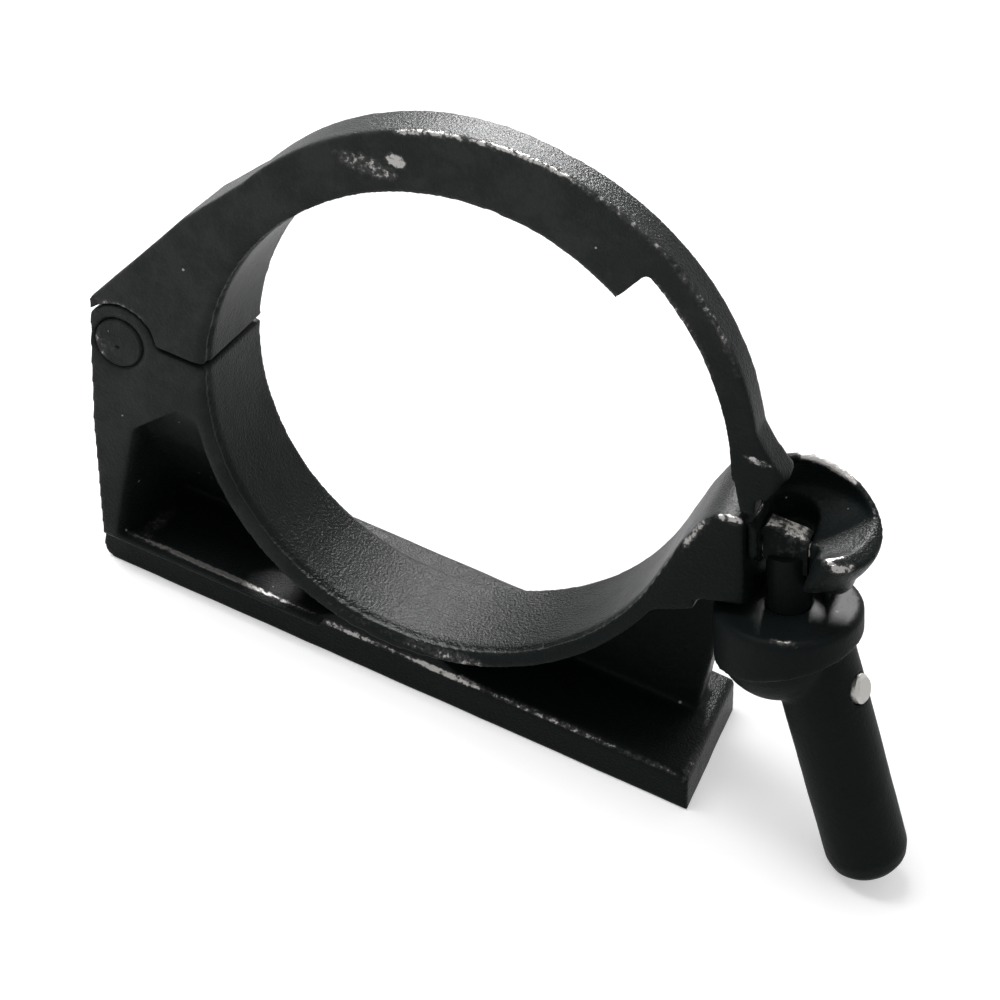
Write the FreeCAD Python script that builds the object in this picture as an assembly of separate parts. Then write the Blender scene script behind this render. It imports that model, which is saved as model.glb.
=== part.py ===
import FreeCAD, Part
import math
import os

from FreeCAD import Vector

# Clamp for a plain steel delivery pipe: a foot with a saddle, a hinged strap and a lever nut on a swing bolt.
# Millimetres. The origin lies on the pipe axis at the middle of the saddle's width.
# X runs along the foot from the hinge to the lock, Y runs along the pipe away from the front, Z is up.

# Pipe seat
BORE_R = 67.0
SEAT_WIDTH = 34.0
SEAT_WALL = 4.6
BORE_BEVEL = 2.4
BORE_BEVEL_DEPTH = 1.6
BORE_GROOVE_DEPTH = 1.1
BORE_GROOVE_WIDTH = 1.8
BORE_LIP_WIDTH = 2.0
FRONT = -SEAT_WIDTH / 2
BACK = SEAT_WIDTH / 2

# Foot plate
FOOT_LEFT = -(BORE_R + 24.0)
FOOT_RIGHT = BORE_R + 26.5
FOOT_END_SLOPE = 3.0
FOOT_TOP = -(BORE_R + 8.6)
FOOT_THICKNESS = 11.2
FOOT_FRONT = -13.5
FOOT_BACK = 36.0
FOOT_CORNER_R = 5.0
FOOT_EDGE_ROUND = 2.0

# Rear web and left post, with the pocket that runs back and down between them
WEB_FRONT = 14.5
WEB_BACK = 25.0
WEB_BORE_GAP = 6.5
SHOULDER_X = -(BORE_R + 35.8)
SHOULDER_Z = -1.0
POST_BEND_X = -(BORE_R + 30.4)
POST_BEND_Z = -39.2
POCKET_TOP = -22.0
POCKET_BACK = 17.0
POCKET_LEFT_FRONT = -(BORE_R + 18.6)
POCKET_LEFT_BACK = -(BORE_R + 14.5)
POCKET_LEAN = 0.015
POCKET_CORNER = 15.0
POCKET_UPPER_BEND = (0.07, 0.12)
POCKET_LOWER_BEND = (0.28, 0.36)
ROOT_HALF = 14.0
ROOT_FLARE = 12.0
ROOT_HEIGHT = 6.0

# Hinge
PIN_X = -(BORE_R + 25.6)
PIN_Z = -11.4
PIN_R = 7.1
PIN_RECESS_R = 8.3
PIN_RECESS_DEPTH = 0.9
PIN_BEVEL = 0.5
PIN_MARK_R = 0.8
PIN_MARK_DROP = 1.2
CHEEK_R = 11.3
KNUCKLE_R = 10.9
KNUCKLE_WIDTH = 16.0
KNUCKLE_SIDE_GAP = 0.25
HINGE_BORE_GAP = 0.05
HINGE_ROUND_GAP = 0.3
SPLIT_Z = -8.7
SPLIT_GAP = 0.9
NECK_HIGH_POLAR = 140.0
NECK_LOW_POLAR = 60.0
NECK_HEIGHT = 6.0
NECK_REACH = 8.0

# Strap
STRAP_CENTRE_X = 3.2
STRAP_CENTRE_Z = 3.3
RING_HEIGHT = 15.1
ARM_INNER_HEIGHT = 11.6
STRAP_OUTER_R = BORE_R + RING_HEIGHT
ARM_INNER_R = BORE_R + ARM_INNER_HEIGHT
RIB_START_POLAR = 147.0
PAD_END_POLAR = 59.0
ARM_END_POLAR = 17.0
ARM_DEPTH = 10.2
RIB_BACK = [(-120.0, 7.0), (12.0, -6.3), (120.0, -7.2)]
BLOCK_TAPER_Z = 12.6
BLOCK_TAPER = 0.42

# Lock axis: the line down the swing bolt, tilted outward at its lower end
LOCK_X = BORE_R + 32.2
LOCK_Y = -7.0
LOCK_Z = -11.4
LOCK_TILT = 18.0
DRUM_GAP = 0.3

# Swing bolt
SHANK_R = 5.7
EYE_WIDTH = 11.4
EYE_DEPTH = 7.0
EYE_TOP_RISE = 6.6
EYE_DROP = 3.9
EYE_BEVEL = 1.3
PIVOT_RISE = 16.5
PIVOT_PIN_R = 2.25
PIVOT_BORE_GAP = 0.05
SHANK_BELOW = 18.0
SLOT_SIDE_GAP = 0.25
SLOT_BACK = 2.1

# Dished end of the strap: a ball cut by the mouth's plane, over a round lug for the bolt's pivot
DISH_R = 18.5
DISH_WALL = 2.4
DISH_X = BORE_R + 30.0
DISH_Z = 15.0
MOUTH_NORMAL = Vector(0.24, -0.17, 0.95)
MOUTH_RISE = 4.4
FLOOR_R = 30.0
FLOOR_SHIFT = 9.0
FLOOR_ABOVE_PIVOT = 3.5
LUG_R = 10.3
LUG_REACH = 17.6
LUG_ROUND = 4.5
LUG_FLAT = 8.7
LEFT_LUG_R = 4.6
SIDE_WALL_X = BORE_R + 34.4
SIDE_ROUND = 6.0
SIDE_FRONT = -23.2
LEFT_CHEEK_FRONT = -15.0
FLARE_X = BORE_R + 19.2
FLARE_START_POLAR = 33.0
FLARE = [(BORE_R + 26.0, 26.5), (BORE_R + 20.0, 29.4), (BORE_R + 15.6, 32.8), (BORE_R + 10.4, 38.0)]

# Ear of the base
EAR_SLOT_HALF = 9.0
EAR_SEAT_THICKNESS = 5.4
EAR_SEAT_REACH = 10.5
EAR_TOP = 13.3
EAR_FLARE_START = -11.6
EAR_FLARE_FROM_BORE = [(1.8, -0.3), (3.3, 4.0), (4.7, 7.5), (6.8, 10.4), (9.3, 12.4), (12.0, EAR_TOP)]
EAR_FLARE = [(BORE_R + step, z) for step, z in EAR_FLARE_FROM_BORE]
EAR_ROOT = (BORE_R - 7.0, -28.4)
EAR_GAP = 0.8

# Lever nut
DRUM_R = 19.5
DRUM_HEIGHT = 12.5
DRUM_BEVEL = 1.2
STEM_R = 11.4
STEM_LENGTH = 85.5
STEM_TILT = 31.7
STEM_OFFSET = 2.9
STEM_TIP_ROUND = 7.0
STEM_SUNK = 6.0
BELLY_R = 17.0
BELLY_SHIFT = 2.2
BELLY_DOWN = 11.0
THREAD_GAP = 0.05
THREAD_END_ROOM = 1.0

# Cross pin of the stem
CROSS_R = 4.0
CROSS_DOWN = 25.6
CROSS_ROUND_FROM_FRONT = 78.0
CROSS_PROUD = 1.2
CROSS_BEVEL = 0.9
CROSS_INNER = 8.0

SEAT_OUTER_R = BORE_R + SEAT_WALL
FOOT_BOTTOM = FOOT_TOP - FOOT_THICKNESS
KNUCKLE_HALF = KNUCKLE_WIDTH / 2
FORK_HALF = KNUCKLE_HALF + KNUCKLE_SIDE_GAP
FAR = 400.0

TILT = math.radians(LOCK_TILT)
DOWN = Vector(math.sin(TILT), 0, -math.cos(TILT))
ACROSS = Vector(math.cos(TILT), 0, math.sin(TILT))
FRONTWARD = Vector(0, -1, 0)
ALONG_PIPE = Vector(0, 1, 0)


def prism(points, y_front, y_back):
    """A solid with a polygon outline in the XZ plane, from y_front to y_back."""
    corners = [Vector(x, y_front, z) for x, z in points]
    face = Part.Face(Part.makePolygon(corners + corners[:1]))
    return face.extrude(Vector(0, y_back - y_front, 0))


def block(x_low, x_high, y_low, y_high, z_low, z_high):
    """A box between two corners."""
    return Part.makeBox(x_high - x_low, y_high - y_low, z_high - z_low, Vector(x_low, y_low, z_low))


def disc(x, z, radius, y_front, y_back):
    """A cylinder along the pipe's direction."""
    return Part.makeCylinder(radius, y_back - y_front, Vector(x, y_front, z), ALONG_PIPE)


def polar(radius, degrees):
    """A point (x, z) round the pipe axis; zero is to the right, positive is up."""
    return radius * math.cos(math.radians(degrees)), radius * math.sin(math.radians(degrees))


def round_pin(radius, degrees):
    """A point (x, z) round the hinge pin."""
    x, z = polar(radius, degrees)
    return PIN_X + x, PIN_Z + z


def sector(radius, start, end, y_front, y_back):
    """A wedge from the pipe axis out to a radius, between two polar angles."""
    steps = 6
    angles = [start + (end - start) * i / steps for i in range(steps + 1)]
    reach = radius / math.cos(math.radians((end - start) / steps / 2)) + 1
    return prism([(0.0, 0.0)] + [polar(reach, angle) for angle in angles], y_front, y_back)


def at_lock(u, down, y=LOCK_Y):
    """A point given across and down the lock axis; zero is the middle of the drum's top."""
    return Vector(LOCK_X, y, LOCK_Z) + ACROSS * u + DOWN * down


def lock_block(u_low, u_high, y_low, y_high, down_low, down_high):
    """A box turned with the lock axis."""
    pairs = [(u_low, down_low), (u_high, down_low), (u_high, down_high), (u_low, down_high)]
    corners = [at_lock(u, down, y_low) for u, down in pairs]
    face = Part.Face(Part.makePolygon(corners + corners[:1]))
    return face.extrude(Vector(0, y_high - y_low, 0))


def lock_cylinder(radius, down_low, down_high):
    """A cylinder round the lock axis."""
    return Part.makeCylinder(radius, down_high - down_low, at_lock(0, down_low), DOWN)


def pivot_cylinder(radius, u_low, u_high):
    """A cylinder round the swing bolt's pivot."""
    return Part.makeCylinder(radius, u_high - u_low, at_lock(u_low, -PIVOT_RISE), ACROSS)


def bore_front():
    """Bevel on the front edge of the pipe seat, with the fine groove behind it."""
    start = FRONT + BORE_LIP_WIDTH
    groove = disc(0, 0, BORE_R + BORE_GROOVE_DEPTH, start, start + BORE_GROOVE_WIDTH)
    bevel = Part.makeCone(BORE_R + BORE_BEVEL, BORE_R, BORE_BEVEL_DEPTH, Vector(0, FRONT, 0), ALONG_PIPE)
    return groove.fuse(bevel)


def swing_clearance():
    """The room that the drum sweeps in front of the lock axis when the bolt swings out."""
    room = lock_block(-DRUM_R - 3, DRUM_R + 3, LOCK_Y - 2 * DRUM_R, LOCK_Y, -PIVOT_RISE, 4)
    return room.cut(pivot_cylinder(PIVOT_RISE - DRUM_GAP, -DRUM_R - 4, DRUM_R + 4))


def saddle():
    """Lower half ring that carries the pipe."""
    ring = disc(0, 0, SEAT_OUTER_R, FRONT, BACK)
    right = EAR_FLARE_START
    outline = [(-FAR, SPLIT_Z), (0.0, SPLIT_Z), (0.0, right), (FAR, right), (FAR, -FAR), (-FAR, -FAR)]
    return ring.common(prism(outline, FRONT, BACK))


def foot():
    """Flat plate that the clamp is bolted or welded down by."""
    low_left = Vector(FOOT_LEFT, FOOT_FRONT, FOOT_BOTTOM + FOOT_CORNER_R)
    bend = Vector(
        FOOT_LEFT + FOOT_CORNER_R * (1 - math.sqrt(0.5)),
        FOOT_FRONT,
        FOOT_BOTTOM + FOOT_CORNER_R * (1 - math.sqrt(0.5)),
    )
    low = Vector(FOOT_LEFT + FOOT_CORNER_R, FOOT_FRONT, FOOT_BOTTOM)
    right_low = Vector(FOOT_RIGHT + FOOT_END_SLOPE / 2, FOOT_FRONT, FOOT_BOTTOM)
    right_top = Vector(FOOT_RIGHT - FOOT_END_SLOPE / 2, FOOT_FRONT, FOOT_TOP)
    left_top = Vector(FOOT_LEFT, FOOT_FRONT, FOOT_TOP)
    edges = [
        Part.Arc(low_left, bend, low).toShape(),
        Part.makeLine(low, right_low),
        Part.makeLine(right_low, right_top),
        Part.makeLine(right_top, left_top),
        Part.makeLine(left_top, low_left),
    ]
    plate = Part.Face(Part.Wire(edges)).extrude(Vector(0, FOOT_BACK - FOOT_FRONT, 0))
    top_front = [
        edge
        for edge in plate.Edges
        if abs(edge.BoundBox.ZMin - FOOT_TOP) < 0.01 and edge.BoundBox.ZLength < 0.01
    ]
    return plate.makeFillet(FOOT_EDGE_ROUND, top_front)


def left_outline():
    """The straight left side of the clamp, from the foot up to the hinge's split."""
    slope = (SHOULDER_X - POST_BEND_X) / (SHOULDER_Z - POST_BEND_Z)
    top = (POST_BEND_X + slope * (SPLIT_Z - POST_BEND_Z), SPLIT_Z)
    return [top, (POST_BEND_X, POST_BEND_Z), (FOOT_LEFT + 1, FOOT_TOP - 1)]


def left_of_clamp():
    """The room left of the clamp's straight side."""
    top_x = SHOULDER_X + (SHOULDER_X - POST_BEND_X) * 0.5
    top_z = SHOULDER_Z + (SHOULDER_Z - POST_BEND_Z) * 0.5
    outline = [(POST_BEND_X, POST_BEND_Z), (top_x, top_z), (-FAR / 2, top_z), (-FAR / 2, POST_BEND_Z)]
    return prism(outline, FRONT - 1, BACK + 1)


def pocket():
    """Pocket on the left: its back runs down to the foot and its left wall opens to the front."""
    low = FOOT_TOP - 1
    height = POCKET_TOP - low
    run = POCKET_BACK - FRONT
    profile = [
        (FRONT - 1, POCKET_TOP),
        (FRONT + run * POCKET_UPPER_BEND[0], POCKET_TOP - height * POCKET_UPPER_BEND[1]),
        (FRONT + run * POCKET_LOWER_BEND[0], POCKET_TOP - height * POCKET_LOWER_BEND[1]),
        (POCKET_BACK, FOOT_TOP),
        (POCKET_BACK, low - 1),
        (FRONT - 1, low - 1),
    ]
    corners = [Vector(-BORE_R - 40, y, z) for y, z in profile]
    ramp = Part.Face(Part.makePolygon(corners + corners[:1])).extrude(Vector(BORE_R + 20, 0, 0))
    plan = [(POCKET_LEFT_FRONT, FRONT - 1), (POCKET_LEFT_BACK, POCKET_BACK), (0, POCKET_BACK), (0, FRONT - 1)]
    corners = [Vector(x, y, low - 1) for x, y in plan]
    rise = height + 4
    leaning = Part.Face(Part.makePolygon(corners + corners[:1])).extrude(Vector(POCKET_LEAN * rise, 0, rise))
    wall_x = POCKET_LEFT_FRONT + POCKET_LEAN * height - 5
    low_corner = (wall_x, POCKET_TOP - POCKET_CORNER - 5)
    corner = [low_corner, (wall_x + POCKET_CORNER + 5, POCKET_TOP), (wall_x, POCKET_TOP)]
    room = ramp.common(leaning).cut(prism(corner, FRONT - 2, BACK + 2))
    return room.cut(block(-FAR / 2, FAR / 2, FRONT - 2, BACK + 2, low - 3, FOOT_TOP))


def left_block():
    """Left post and gusset from the foot up to the hinge, hollowed by the pocket."""
    outline = left_outline() + [(-20.0, FOOT_TOP - 1), (-20.0, -BORE_R + 7.0), (-BORE_R + 12.0, SPLIT_Z)]
    upright = prism(outline, FRONT, WEB_BACK)
    above_web = block(-FAR / 2, 0, BACK, WEB_BACK, POCKET_TOP, 0)
    upright = upright.cut(above_web)
    upright = upright.cut(pocket()).cut(disc(0, 0, BORE_R + WEB_BORE_GAP, BACK, WEB_BACK + 1))
    front_room = prism([(-BORE_R + 7.0, FOOT_TOP), (0, FOOT_TOP), (0, 0), (-30.0, 0)], FRONT - 1, POCKET_BACK)
    cheeks = disc(PIN_X, PIN_Z, CHEEK_R, FRONT, BACK).cut(left_of_clamp())
    return upright.cut(front_room).fuse(cheeks)


def web():
    """Rear wall that carries the saddle between the post and the ear."""
    right = [(FOOT_RIGHT - 7.0, FOOT_TOP - 1), (BORE_R + 17.0, -45.0), (BORE_R + 11.0, -20.0)]
    outline = [(-40.0, FOOT_TOP - 1)] + right + [(-40.0, -20.0)]
    wall = prism(outline, WEB_FRONT, WEB_BACK)
    return wall.cut(disc(0, 0, BORE_R + WEB_BORE_GAP, BACK, WEB_BACK + 1))


def saddle_root():
    """Short solid stretch where the saddle runs down into the foot."""
    low = FOOT_TOP - 1
    wide = ROOT_HALF + ROOT_FLARE
    outline = [(-wide, low), (-ROOT_HALF, low + ROOT_HEIGHT), (ROOT_HALF, low + ROOT_HEIGHT), (wide, low)]
    return prism(outline, FOOT_FRONT, BACK)


def ear():
    """Slotted ear that the bore runs out into, with its rounded seat for the drum of the lever nut."""
    start = (math.sqrt(BORE_R**2 - EAR_FLARE_START**2), EAR_FLARE_START)
    middle = ((start[0] + EAR_FLARE[0][0]) / 2, (start[1] + EAR_FLARE[0][1]) / 2)
    points = [Vector(x, FRONT, z) for x, z in [start, middle] + EAR_FLARE]
    flare = Part.BSplineCurve()
    flare.interpolate(points)
    rise = (EAR_TOP - LOCK_Z) / math.cos(TILT) + EAR_SLOT_HALF * math.tan(TILT)
    rest = [
        at_lock(-EAR_SLOT_HALF, -rise, FRONT),
        at_lock(-EAR_SLOT_HALF, -DRUM_GAP, FRONT),
        at_lock(-DRUM_R - 1.0, -DRUM_GAP, FRONT),
        Vector(EAR_ROOT[0], FRONT, EAR_ROOT[1]),
        Vector(BORE_R - 12.0, FRONT, -20.0),
    ]
    sides = [flare.toShape(), Part.makePolygon([points[-1]] + rest + [points[0]])]
    cheek = Part.Face(Part.Wire(sides[:1] + sides[1].Edges)).extrude(Vector(0, SEAT_WIDTH, 0))
    seat_top = -DRUM_GAP - EAR_SEAT_THICKNESS
    seat = lock_block(-EAR_SLOT_HALF - 4, EAR_SEAT_REACH, LOCK_Y, BACK, seat_top, -DRUM_GAP)
    seat = seat.cut(lock_cylinder(EAR_SLOT_HALF, seat_top - 1, 1))
    return cheek.fuse(seat).cut(swing_clearance())


def base_casting():
    """Foot, saddle, post, web and ear in one casting."""
    body = saddle().fuse([foot(), left_block(), web(), saddle_root(), ear()]).removeSplitter()
    body = body.cut(disc(0, 0, BORE_R, FRONT - 1, BACK))
    body = body.cut(bore_front())
    gap = disc(PIN_X, PIN_Z, CHEEK_R + HINGE_ROUND_GAP, -FORK_HALF, FORK_HALF)
    gap = gap.fuse(block(PIN_X - 2 * CHEEK_R, PIN_X + 2 * CHEEK_R, -FORK_HALF, FORK_HALF, SPLIT_Z, 20))
    body = body.cut(gap)
    body = body.cut(disc(PIN_X, PIN_Z, PIN_R, FRONT - 1, BACK + 1))
    body = body.cut(disc(PIN_X, PIN_Z, PIN_RECESS_R, FRONT - 1, FRONT + PIN_RECESS_DEPTH))
    return body.removeSplitter()


def hinge_pin():
    """Plain pin pressed into both cheeks, with a centre mark in its front end."""
    start = FRONT + PIN_BEVEL * 0.5
    pin = disc(PIN_X, PIN_Z, PIN_R, start, BACK)
    pin = pin.makeChamfer(PIN_BEVEL, [e for e in pin.Edges if isinstance(e.Curve, Part.Circle)])
    middle = Vector(PIN_X, start, PIN_Z - PIN_MARK_DROP)
    mark = Part.makeCone(PIN_MARK_R, 0.0, PIN_MARK_R, middle, ALONG_PIPE)
    return pin.cut(mark)


def rib():
    """Stiff outer rib of the strap, narrower towards the arm."""
    ring = disc(STRAP_CENTRE_X, STRAP_CENTRE_Z, STRAP_OUTER_R, FRONT, BACK)
    ring = ring.cut(disc(0, 0, BORE_R, FRONT - 1, BACK + 1))
    ring = ring.common(sector(FAR / 4, ARM_END_POLAR, RIB_START_POLAR, FRONT, BACK))
    reach = RIB_BACK[-1][0]
    plan = RIB_BACK + [(reach, FAR), (-reach, FAR)]
    corners = [Vector(x, y, -reach) for x, y in plan]
    behind = Part.Face(Part.makePolygon(corners + corners[:1])).extrude(Vector(0, 0, 2 * reach))
    arm_room = disc(0, 0, ARM_INNER_R, FRONT - 1, BACK + 1)
    arm_room = arm_room.common(sector(ARM_INNER_R, -20.0, PAD_END_POLAR, FRONT - 1, BACK + 1))
    return ring.cut(behind).cut(arm_room)


def pad():
    """Wide inner shell of the strap that presses on the pipe."""
    ring = disc(0, 0, SEAT_OUTER_R, FRONT, BACK)
    return ring.common(sector(SEAT_OUTER_R, PAD_END_POLAR, 190.0, FRONT, BACK))


def hinge_block():
    """Thick left end of the strap above the hinge fork."""
    outline = [
        left_outline()[0],
        (SHOULDER_X, SHOULDER_Z),
        (-(BORE_R + 26.3), 12.6),
        (-(BORE_R + 12.4), 33.0),
        (-(BORE_R - 1.7), 48.8),
        (-(BORE_R - 15.0), 46.0),
        (-(BORE_R - 7.0), SPLIT_Z + SPLIT_GAP),
        (PIN_X, SPLIT_Z + SPLIT_GAP),
        (PIN_X, PIN_Z),
    ]
    lump = prism(outline, FRONT, BACK)
    height = FAR / 4
    top = BLOCK_TAPER_Z + height
    side = [(BACK, BLOCK_TAPER_Z), (BACK - BLOCK_TAPER * height, top), (BACK, top)]
    corners = [Vector(-FAR / 2, y, z) for y, z in side]
    behind = Part.Face(Part.makePolygon(corners + corners[:1])).extrude(Vector(FAR / 2, 0, 0))
    lump = lump.cut(behind)
    return lump.cut(disc(PIN_X, PIN_Z, CHEEK_R + HINGE_ROUND_GAP, FRONT - 1, BACK + 1))


def knuckle():
    """Middle eye of the strap between the two cheeks."""
    eye = disc(PIN_X, PIN_Z, KNUCKLE_R, -KNUCKLE_HALF, KNUCKLE_HALF).cut(left_of_clamp())
    neck = prism(
        [
            round_pin(CHEEK_R + HINGE_ROUND_GAP, NECK_HIGH_POLAR),
            round_pin(CHEEK_R + NECK_HEIGHT, NECK_LOW_POLAR),
            (PIN_X + CHEEK_R + NECK_REACH, SPLIT_Z + SPLIT_GAP),
            (PIN_X, SPLIT_Z + SPLIT_GAP),
        ],
        -KNUCKLE_HALF,
        KNUCKLE_HALF,
    )
    return eye.fuse(neck)


def mouth_frame():
    """Unit normal of the dish's mouth and the middle of its plane."""
    normal = Vector(MOUTH_NORMAL).normalize()
    return normal, Vector(DISH_X, LOCK_Y, DISH_Z) + normal * MOUTH_RISE


def bowl():
    """The hollow of the dished end: a round wall over a flatter round floor."""
    wall = Part.makeSphere(DISH_R - DISH_WALL, Vector(DISH_X, LOCK_Y, DISH_Z))
    floor = Part.makeSphere(FLOOR_R, at_lock(FLOOR_SHIFT, -PIVOT_RISE - FLOOR_ABOVE_PIVOT - FLOOR_R))
    return wall.common(floor)


def dished_end():
    """Dished end of the strap, which houses the eye of the swing bolt."""
    normal, middle = mouth_frame()
    ball = Part.makeSphere(DISH_R, Vector(DISH_X, LOCK_Y, DISH_Z))
    ball = ball.cut(Part.makeCylinder(2 * DISH_R, 2 * DISH_R, middle, normal))
    lug = pivot_cylinder(LUG_R, -LUG_FLAT - 4, LUG_REACH)
    rim = max(
        [edge for edge in lug.Edges if isinstance(edge.Curve, Part.Circle)],
        key=lambda edge: edge.Curve.Center.x,
    )
    lug = lug.makeFillet(LUG_ROUND, [rim])
    lug = lug.cut(Part.makeCylinder(2 * DISH_R, 2 * DISH_R, middle, normal))
    return ball.fuse(lug)


def arm_root():
    """Flared end of the arm, where it runs into the wall of the dished end."""
    low = at_lock(-LUG_FLAT, -PIVOT_RISE - 8)
    outline = [polar(ARM_INNER_R, ARM_END_POLAR + 3.0), (low.x, low.z), (DISH_X, DISH_Z - 4.0)]
    x, z = polar(STRAP_OUTER_R - 0.2, FLARE_START_POLAR)
    outline += FLARE + [(STRAP_CENTRE_X + x, STRAP_CENTRE_Z + z)]
    back = FRONT + ARM_DEPTH
    left = FLARE_X - 30
    plan = [(left, FRONT), (FLARE_X, FRONT), (FLARE[0][0], back), (left, back)]
    corners = [Vector(x, y, 0) for x, y in plan]
    left_of_bowl = Part.Face(Part.makePolygon(corners + corners[:1])).extrude(Vector(0, 0, 60))
    return prism(outline, FRONT, back).common(left_of_bowl)


def mouth_sides():
    """The room in front of the dish's left cheek and round the front corner of its right wall."""
    left = block(BORE_R - 7, SIDE_WALL_X, -FAR / 8, LEFT_CHEEK_FRONT, -30, 60)
    left = left.cut(block(BORE_R - 7, DISH_X - EYE_WIDTH / 2, FRONT, LEFT_CHEEK_FRONT, DISH_Z, 60))
    slot_side = block(SIDE_WALL_X - 6, SIDE_WALL_X, -FAR / 8, LOCK_Y - EYE_DEPTH / 2 - 0.2, -30, 60)
    middle = (SIDE_WALL_X + SIDE_ROUND, SIDE_FRONT + SIDE_ROUND)
    corner = block(SIDE_WALL_X - 1, middle[0], -FAR / 8, middle[1], -30, 60)
    corner = corner.cut(Part.makeCylinder(SIDE_ROUND, 90, Vector(middle[0], middle[1], -30)))
    half = EYE_WIDTH / 2 + SLOT_SIDE_GAP
    under_cheek = lock_block(-FAR / 8, -half, LOCK_Y - 20, LOCK_Y + 20, -PIVOT_RISE, 5)
    under_cheek = under_cheek.cut(pivot_cylinder(LEFT_LUG_R, -FAR / 8 - 1, -half + 1))
    ahead = block(BORE_R - 7, FAR / 2, -FAR / 8, SIDE_FRONT, -30, 60)
    return left.fuse([slot_side, corner, under_cheek, ahead])


def clamp_strap():
    """Hinge block, upper half ring, arm and dished end in one casting."""
    body = pad().fuse([rib(), hinge_block(), arm_root(), dished_end()])
    body = body.cut(bowl())
    body = body.cut(disc(0, 0, BORE_R, FRONT - 1, BACK + 1))
    body = body.cut(bore_front())
    body = body.cut(block(-SEAT_OUTER_R - 8, 0, FRONT - 1, BACK + 1, -FAR / 4, SPLIT_Z + SPLIT_GAP))
    body = body.fuse(knuckle())
    body = body.cut(disc(PIN_X, PIN_Z, PIN_R + HINGE_BORE_GAP, FRONT - 1, BACK + 1))
    beside_ear = lock_block(-FAR / 8, -LUG_FLAT, FRONT - 9, BACK + 9, -FAR / 8, 5)
    body = body.cut(beside_ear.common(block(BORE_R - 7, FAR / 2, -60, 60, -60, EAR_TOP + EAR_GAP)))
    half = EYE_WIDTH / 2 + SLOT_SIDE_GAP
    top = -PIVOT_RISE - DISH_R
    slot = lock_block(-half, half, -FAR / 8, SLOT_BACK, top, 5)
    slot = slot.fuse(Part.makeCylinder(half, -PIVOT_RISE - top, at_lock(0, top, SLOT_BACK - 1.5), DOWN))
    body = body.cut(slot).cut(mouth_sides())
    body = body.cut(pivot_cylinder(PIVOT_PIN_R, -LUG_FLAT - 1, LUG_REACH - LUG_ROUND))
    body = body.cut(swing_clearance())
    return body.removeSplitter()


def swing_bolt():
    """Eye block with level ends and the shank of the bolt, in one piece."""
    half = EYE_WIDTH / 2
    front = LOCK_Y - EYE_DEPTH / 2
    lean = half * math.tan(TILT)
    top = -PIVOT_RISE - EYE_TOP_RISE
    low = -PIVOT_RISE + EYE_DROP
    pairs = [(-half, top - lean), (half, top + lean), (half, low + lean), (-half, low - lean)]
    corners = [at_lock(u, down, front) for u, down in pairs]
    eye = Part.Face(Part.makePolygon(corners + corners[:1])).extrude(Vector(0, EYE_DEPTH, 0))
    crown = at_lock(0, top).z
    eye = eye.makeChamfer(EYE_BEVEL, [edge for edge in eye.Edges if edge.BoundBox.ZMin > crown - 0.1])
    shank = lock_cylinder(SHANK_R, low - lean - 1, SHANK_BELOW)
    return eye.fuse(shank).cut(pivot_cylinder(PIVOT_PIN_R + PIVOT_BORE_GAP, -half - 1, half + 1))


def bolt_pivot_pin():
    """Pin that the bolt swings on, pressed into both walls of the slot."""
    return pivot_cylinder(PIVOT_PIN_R, -LUG_FLAT + 0.2, LUG_REACH - LUG_ROUND)


def stem_frame():
    """Start point and direction of the stem's axis."""
    tilt = math.radians(STEM_TILT)
    return at_lock(STEM_OFFSET, 0), Vector(math.sin(tilt), 0, -math.cos(tilt))


def lever_nut():
    """Drum head with a round belly and an inclined round stem, which takes a tube as a lever."""
    start, along = stem_frame()
    drum = lock_cylinder(DRUM_R, 0, 2 * DRUM_HEIGHT)
    rims = [edge for edge in drum.Edges if isinstance(edge.Curve, Part.Circle)]
    top_rim = min(rims, key=lambda edge: (edge.Curve.Center - at_lock(0, 0)).Length)
    drum = drum.makeChamfer(DRUM_BEVEL, [top_rim])
    below = Part.makeCylinder(3 * DRUM_R, 3 * DRUM_R, at_lock(0, DRUM_HEIGHT), along)
    radius = STEM_R
    down = STEM_LENGTH - STEM_TIP_ROUND
    stem = Part.makeCylinder(STEM_R, down - STEM_SUNK, start + along * STEM_SUNK, along)
    tip = []
    for turn in (30, 60, 90):
        next_radius = STEM_R - STEM_TIP_ROUND * (1 - math.cos(math.radians(turn)))
        next_down = STEM_LENGTH - STEM_TIP_ROUND * (1 - math.sin(math.radians(turn)))
        tip.append(Part.makeCone(radius, next_radius, next_down - down, start + along * down, along))
        radius = next_radius
        down = next_down
    stem = stem.fuse(tip)
    belly = Part.makeSphere(BELLY_R, at_lock(-BELLY_SHIFT, BELLY_DOWN))
    belly = belly.cut(lock_cylinder(2 * BELLY_R, -2 * BELLY_R, DRUM_HEIGHT / 2))
    body = drum.cut(below).fuse(belly).fuse(stem)
    body = body.cut(lock_cylinder(SHANK_R + THREAD_GAP, -1, SHANK_BELOW + THREAD_END_ROOM))
    body = body.cut(cross_pin_cylinder(CROSS_PROUD + 5))
    return body.removeSplitter()


def cross_pin_cylinder(proud):
    """The cross pin's cylinder, with this much standing out of the stem."""
    start, along = stem_frame()
    turn = math.radians(CROSS_ROUND_FROM_FRONT)
    right = ALONG_PIPE.cross(along)
    if right.x < 0:
        right = right * -1
    outward = FRONTWARD * math.cos(turn) + right * math.sin(turn)
    middle = start + along * CROSS_DOWN
    return Part.makeCylinder(CROSS_R, CROSS_INNER + STEM_R + proud, middle - outward * CROSS_INNER, outward)


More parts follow.
